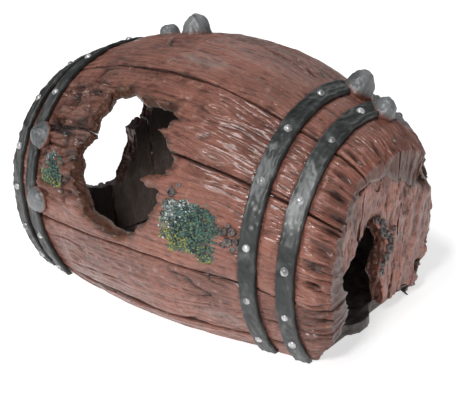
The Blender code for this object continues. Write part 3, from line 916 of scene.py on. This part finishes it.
def head_board(node, name, tone, seed):
    """Grain cut from top to bottom into one board of a head."""
    obj = fine_copy(node, HEAD_VOXEL)
    obj.name = obj.data.name = name
    co, normal = points_of(obj), normals_of(obj)
    along, across = co[:, 2] / MM - AXIS_HEIGHT, co[:, 1] / MM
    knots = [(k[0] / BELLY_R, math.degrees(k[1] / BELLY_R)) + k[2:] for k in HEAD_KNOTS]
    height, wash, pale, _ = grain(along, across, seed, knots)
    outward = normal[:, 0] * math.copysign(1, co[:, 0].mean()) > 0
    facing = ramp(np.abs(normal[:, 0]), 0.35, 0.85)
    broken, painted_shadow_gap = rim_breaks_and_lip_shadow(node, along, across)
    knobs = 0.8 * cloud(along / 9, across / 3.6, seed + 50)
    knobs = knobs + 0.25 * cloud(along / 4.5, across / 1.3, seed + 52)
    rough = 0.75 * cloud(along / 2.0, (across + 1.7 * co[:, 0] / MM) / 2.0, seed + 40) - 0.2
    front = height * 1.2 + knobs - 0.55 - 2.8 * broken - 3.3 * painted_shadow_gap
    back = 0.8 * cloud(along / 12, across / 8, seed + 60)
    lift = facing * np.where(outward, front, back) + (1 - facing) * rough
    # Dark in the hollows between the knobs and on the broken rim, plus the painted shadow under the doorway
    # lip.
    grime_and_lip_shadow = np.maximum(0.75 * ramp(knobs, -0.1, -0.8), np.maximum(0.8 * broken, 0.9 * painted_shadow_gap))
    wash = np.where(outward, np.maximum(wash, grime_and_lip_shadow), 0)
    put_points(obj, co + normal * (lift * MM)[:, None])
    mark(obj, "wash", np.clip(wash * facing + (1 - facing) * 0.55 + 0.05, 0, 1))
    mark(obj, "pale", pale * facing)
    mark(obj, "crest", np.clip((front - 0.2) * 0.5, 0, 0.6) * facing * (1 - wash))
    mark(obj, "edge", (1 - facing) * 0.3)
    mark(obj, "inner", np.where(outward, 0, facing))
    lay_grain(obj, along, across)
    finish(obj, 60)
    obj.data.materials.append(wood_paint(name + "_paint", tone))
    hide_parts(node)
    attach(obj, "barrel")
    return obj


for k, node in enumerate(("door_head_near", "door_head_middle", "door_head_far",
                          "end_head_near", "end_head_middle", "end_head_far")):
    head_board(node, node.replace("head", "board"), (1.45, 1.5, 1.4)[k % 3], 120 + 7 * k)
print("head boards 6")

# %% Floor
def sandy_paint(name, dark, light, grit):
    """Dull grit of two colours."""
    mat, tree, shader = new_material(name)
    spots = speckle(tree, grit, 4.0)
    colour = blend(tree, remap(tree, spots, 0.38, 0.62), dark, light)
    tree.links.new(colour, shader.inputs["Base Color"])
    tree.links.new(remap(tree, spots, 0.3, 0.7, 0.5, 0.75), shader.inputs["Roughness"])
    relief(tree, shader, spots, 0.5, 0.0005)
    return mat


bed = fine_copy("floor", BED_VOXEL)
bed.name = bed.data.name = "bed"
co, normal = points_of(bed), normals_of(bed)
u, v = co[:, 0] / MM, co[:, 1] / MM
free = (co[:, 2] > 1.2 * MM).astype(float)
swell = 0.5 * cloud(u / 5, v / 5, 201) + 0.25 * cloud(u / 1.8, v / 1.8, 203)
put_points(bed, co + normal * ((swell - 0.3) * free * MM)[:, None])
finish(bed, 60)
bed.data.materials.append(sandy_paint("bed_paint", (0.060, 0.050, 0.045), (0.200, 0.175, 0.160), 220))
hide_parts("floor")
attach(bed, "barrel")
print("floor", len(bed.data.polygons), "faces")

# %% [markdown]
# ## Pebbles
# Grey pebbles are stuck on the barrel, each with a collar of brown resin round its foot. An
# ico sphere is swollen unevenly, and the number "foot" tells the paint where the collar is.

# %% Pebble paint
def pebble_paint():
    """Grey stone with dark pits, brown at the foot."""
    mat, tree, shader = new_material("pebble_grey")
    spots = speckle(tree, 260.0, 4.0)
    wide = speckle(tree, 90.0, 2.0)
    colour = blend(tree, remap(tree, wide, 0.35, 0.65), (0.085, 0.09, 0.095), (0.20, 0.205, 0.21))
    colour = blend(tree, remap(tree, spots, 0.58, 0.74, 0, 0.6), colour, (0.38, 0.385, 0.385))
    colour = blend(tree, remap(tree, spots, 0.42, 0.30, 0, 0.8), colour, (0.035, 0.035, 0.036))
    colour = blend(tree, reader(tree, "foot"), colour, (0.15, 0.062, 0.045))
    tree.links.new(colour, shader.inputs["Base Color"])
    shader.inputs["Roughness"].default_value = 0.38
    relief(tree, shader, spots, 0.5, 0.0005)
    return mat


# %% Pebbles: station, angle, half sizes along, round and out in mm, seed
PEBBLES = {"stone_top": (-0.38, 97, 5.2, 4.6, 7.0, 1),
           "stone_top_small": (-0.56, 94, 3.9, 3.5, 3.5, 2),
           "stone_on_inner_hoop": (0.74, 108, 5.2, 4.8, 7.2, 3),
           "stone_on_outer_hoop": (0.955, 106, 3.8, 3.8, 4.9, 4),
           "stone_left_upper": (-0.85, 31, 4.4, 4.4, 3.6, 5),
           "stone_left_lower": (-0.83, 5, 4.4, 4.1, 3.2, 6)}
grey = pebble_paint()


def pebble(node):
    """One pebble with its foot."""
    station, angle, wide, deep, tall, seed = PEBBLES[node]
    bpy.ops.object.select_all(action="DESELECT")
    bpy.ops.mesh.primitive_ico_sphere_add(subdivisions=5, radius=1)
    obj = bpy.context.active_object
    obj.name = obj.data.name = node.replace("stone", "pebble")
    co = points_of(obj)
    x, y, z = co.T
    lumps = cloud(x * 1.5 + z, y * 1.5 + 3 * seed, 300 + seed, 2)
    pits = cloud(x * 5 + 2 * z, y * 5 - z * 4, 320 + seed, 3)
    size = 1 + 0.16 * lumps + 0.045 * pits
    foot = ramp(z, 0.12, -0.12)
    flare = 1 + 0.12 * foot * (1 + 0.6 * cloud(np.arctan2(y, x) * 1.9, z * 2, 340 + seed))
    narrow = 1.02 - 0.12 * ramp(z, 0.1, 1.0)
    blunt = np.sign(z) * np.abs(z) ** 0.9
    girth = size * flare * narrow
    co = np.stack((x * wide * girth, y * deep * girth, blunt * tall * size), -1)
    mark(obj, "foot", foot)
    put_points(obj, co)
    depth = 2.2 if "hoop" in node or "left" in node else 1.0
    carry(obj, station * BELLY_R, arc(angle), depth, seed)
    finish(obj, 70)
    obj.data.materials.append(grey)
    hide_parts(node)
    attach(obj, "barrel")
    return obj


for node in PEBBLES:
    pebble(node)
print("pebbles", len(PEBBLES))

# %% [markdown]
# ## Moss and barnacles
# The moss is coloured grit: thousands of grains glued on in a patch. Grains of twenty faces are
# scattered, fewer towards the rim, each with its own colour number. Barnacles are little
# volcanoes, made by insetting and pushing down the top of a cone.

# %% Grit paint
def grit_paint():
    """Teal, green, yellow and grey grains, chosen by each grain's own number; the palest are partly painted
    glints.
    """
    mat, tree, shader = new_material("moss_grit")
    node = tree.nodes.new("ShaderNodeValToRGB")
    bands_of = node.color_ramp
    bands_of.interpolation = "CONSTANT"
    # From 0.92 up the grains are pale grey grit and also a painted highlight standing for glints.
    stops = ((0.0, (0.016, 0.034, 0.034)), (0.24, (0.045, 0.105, 0.095)), (0.46, (0.10, 0.15, 0.085)),
             (0.64, (0.27, 0.26, 0.05)), (0.76, (0.15, 0.17, 0.175)), (0.92, (0.48, 0.54, 0.52)))
    bands_of.elements[0].color = (*stops[0][1], 1)
    bands_of.elements[1].position = stops[1][0]
    bands_of.elements[1].color = (*stops[1][1], 1)
    for place, colour in stops[2:]:
        bands_of.elements.new(place).color = (*colour, 1)
    tree.links.new(reader(tree, "tint"), node.inputs["Fac"])
    tree.links.new(node.outputs["Color"], shader.inputs["Base Color"])
    shader.inputs["Roughness"].default_value = 0.36
    return mat


# %% Moss patches
grit = grit_paint()


def moss(node, station, angle, half_u, half_v, count, seed):
    """A patch of glued grains, thinning out to its rim."""
    rng = np.random.default_rng(seed)
    bpy.ops.object.select_all(action="DESELECT")
    bpy.ops.mesh.primitive_ico_sphere_add(subdivisions=1, radius=1)
    ball = bpy.context.active_object
    shape = points_of(ball)
    faces = np.array([list(p.vertices) for p in ball.data.polygons])
    bpy.data.objects.remove(ball, do_unlink=True)
    a = rng.uniform(0, 2 * math.pi, count)
    reach = rng.uniform(0, 1, count) ** 0.55
    wobble = 1 + 0.22 * cloud(np.cos(a) * 1.7 + 5, np.sin(a) * 1.7, seed)
    u = station * BELLY_R + half_u * reach * wobble * np.cos(a)
    v = arc(angle) + half_v * reach * wobble * np.sin(a)
    size = rng.uniform(0.20, 0.46, count) * (1.1 - 0.3 * reach)
    depth = 0.35 + rng.uniform(0, 1.5, count) * (1 - reach ** 2) + 0.35 * cloud(u / 3, v / 3, seed)
    spin = rng.uniform(0.7, 1.35, (count, 1, 3))
    grains = shape[None] * size[:, None, None] * spin
    grains = grains + np.stack((u, v, depth), -1)[:, None, :]
    index = faces[None] + (np.arange(count) * len(shape))[:, None, None]
    data = bpy.data.meshes.new(node.replace("moss", "grit"))
    data.from_pydata(wrap(grains.reshape(-1, 3)).tolist(), [], index.reshape(-1, 3).tolist())
    obj = bpy.data.objects.new(data.name, data)
    bpy.context.scene.collection.objects.link(obj)
    left, down = (station * BELLY_R - u) / half_u, (arc(angle) - v) / half_v
    tint = rng.uniform(0, 1, count)
    grey_side = rng.uniform(0, 1, count) < ramp(left - down, 0.1, 1.1) * 0.62
    yellow = rng.uniform(0, 1, count) < ramp(left * 0.5 + down, -0.1, 0.8) * 0.38
    tint = np.where(grey_side, 0.77 + 0.22 * tint, np.where(yellow, 0.66 + 0.08 * tint, tint * 0.635))
    mark(obj, "tint", np.repeat(tint, len(shape)))
    obj.data.shade_smooth()
    obj.data.materials.append(grit)
    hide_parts(node)
    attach(obj, "barrel")
    return obj


patches = [moss("moss_patch", 0.35, 12, 10.8, 12.6, 6500, 401),
           moss("moss_left", -0.71, 18, 6.5, 7.2, 2200, 403)]
print("moss", [len(p.data.polygons) for p in patches], "faces")


# %% Barnacles
def shell_paint():
    """Grey-brown shell with dark speckles."""
    mat, tree, shader = new_material("barnacle_shell")
    spots = speckle(tree, 380.0, 3.0)
    colour = blend(tree, remap(tree, spots, 0.36, 0.64), (0.040, 0.033, 0.031), (0.20, 0.175, 0.165))
    tree.links.new(colour, shader.inputs["Base Color"])
    shader.inputs["Roughness"].default_value = 0.3
    relief(tree, shader, spots, 0.4, 0.0003)
    return mat


def barnacle():
    """A ribbed cone with a hollow top."""
    bpy.ops.object.select_all(action="DESELECT")
    bpy.ops.mesh.primitive_cone_add(vertices=18, radius1=1.25, radius2=0.75, depth=1.1)
    obj = bpy.context.active_object
    only(obj)
    bpy.ops.object.mode_set(mode="EDIT")
    bpy.ops.mesh.select_all(action="DESELECT")
    bpy.ops.object.mode_set(mode="OBJECT")
    for face in obj.data.polygons:
        face.select = face.normal.z > 0.9
    bpy.ops.object.mode_set(mode="EDIT")
    bpy.ops.mesh.inset(thickness=0.22, depth=0.0)
    bpy.ops.mesh.inset(thickness=0.12, depth=-0.35)
    bpy.ops.mesh.inset(thickness=0.12, depth=-0.25)
    bpy.ops.object.mode_set(mode="OBJECT")
    smooth = obj.modifiers.new("smooth", "SUBSURF")
    smooth.levels = smooth.render_levels = 1
    apply_all(obj)
    co = points_of(obj)
    turn = np.arctan2(co[:, 1], co[:, 0])
    co[:, :2] *= (1 + 0.10 * np.cos(turn * 7) + 0.06 * np.sin(turn * 3))[:, None]
    co[:, 2] += 0.35
    put_points(obj, co)
    return obj


def lumps_on_head(shell, places, name):
    """Barnacles set on the doorway head, found by looking along the barrel."""
    made = []
    boards_there = [bpy.data.objects["door_board_" + side] for side in ("near", "middle", "far")]
    for across, up, size in places:
        for board_there in boards_there:
            start = Vector((0.12, across * MM, (up + AXIS_HEIGHT) * MM))
            hit, at, normal, _ = board_there.ray_cast(start, Vector((-1, 0, 0)))
            if not hit or at.x < 0.045:
                continue
            twin = twin_of(shell)
            turn = (normal + Vector((1.2, -0.3, 0.1))).to_track_quat("Z", "Y").to_matrix().to_4x4()
            twin.data.transform(Matrix.Translation(at) @ turn @ Matrix.Scale(size * MM, 4))
            made.append(twin)
            break
    print(name, len(made))
    return join_all(made, name)


# %% Barnacle places: by the doorway across, up and size in mm, elsewhere station, angle and size
DOOR_SIDE = ((-9.4, 10.8, 1.4), (-7.2, 8.8, 1.5), (-5.8, 6.2, 1.7), (-3.9, 4.6, 1.4), (-2.2, 2.4, 1.7),
             (-0.4, 0.4, 1.6), (1.3, -1.6, 1.4), (0.2, -3.2, 1.8), (1.0, -5.6, 1.4), (-1.2, -6.8, 1.6),
             (-2.6, -9.2, 1.5), (-3.4, -11.8, 1.3), (2.4, 3.0, 1.1))
BY_HOOP = ((0.555, 15.5, 1.0), (0.60, 16.5, 1.15), (0.585, 12.5, 1.2), (0.555, 10.8, 0.9),
           (0.625, 13.6, 0.95), (0.61, 10.2, 0.9), (0.645, 16.2, 0.7), (0.575, 18.0, 0.7), (0.64, 11.4, 0.7))
BY_MOSS = ((0.23, 22.5, 1.35), (0.20, 18.5, 0.9), (0.265, 25.5, 0.7), (0.19, 14.5, 0.8), (0.275, 19.5, 0.75))
SHELL_SIZE = 1.3


def cluster(shell, places, depth, name):
    """A group of barnacles on the side of the barrel."""
    spots = [(s * BELLY_R, arc(a), depth, size * SHELL_SIZE, a) for s, a, size in places]
    return copies(shell, spots, name)


shell = barnacle()
side_shells = cluster(shell, BY_HOOP, 0.75, "barnacles_by_hoop")
moss_shells = cluster(shell, BY_MOSS, 0.8, "barnacles_by_moss")
door_shells = lumps_on_head(shell, DOOR_SIDE, "barnacles_by_doorway")
shells = shell_paint()
for obj in (side_shells, moss_shells, door_shells):
    finish(obj, 60)
    obj.data.materials.append(shells)
    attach(obj, "barrel")
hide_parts("barnacles_side")
bpy.data.objects.remove(shell, do_unlink=True)
print("barnacles", len(BY_HOOP) + len(BY_MOSS), "on the side")

# %% [markdown]
# ## Air fittings
# The barb, grommet, tube, stem and air stone are plain turned and moulded goods, and their solids
# are already the right shape. They only need their materials.

# %% Fittings
def moulded(name, colour, rough, clear=0.0):
    """Moulded plastic or rubber with a faint orange-peel skin."""
    mat, tree, shader = new_material(name)
    skin = speckle(tree, 300.0, 2.0)
    dark = tuple(c * 0.85 for c in colour)
    tree.links.new(blend(tree, remap(tree, skin, 0.4, 0.6), dark, colour), shader.inputs["Base Color"])
    shader.inputs["Roughness"].default_value = rough
    shader.inputs["Transmission Weight"].default_value = clear
    relief(tree, shader, skin, 0.1, 0.0001)
    return mat


finishes = {"inlet_barb": moulded("barb_white", (0.72, 0.74, 0.72), 0.3),
            "inlet_grommet": moulded("grommet_black", (0.02, 0.02, 0.021), 0.6),
            "air_tube": moulded("tube_clear", (0.78, 0.82, 0.80), 0.15, 0.6),
            "air_stone_stem": moulded("stem_white", (0.80, 0.80, 0.77), 0.35),
            "air_stone": sandy_paint("air_stone_grit", (0.16, 0.25, 0.34), (0.36, 0.46, 0.55), 500)}
for node, mat in finishes.items():
    data = nodes[node].data
    data.materials.clear()
    data.materials.append(mat)
print("fittings", len(finishes))
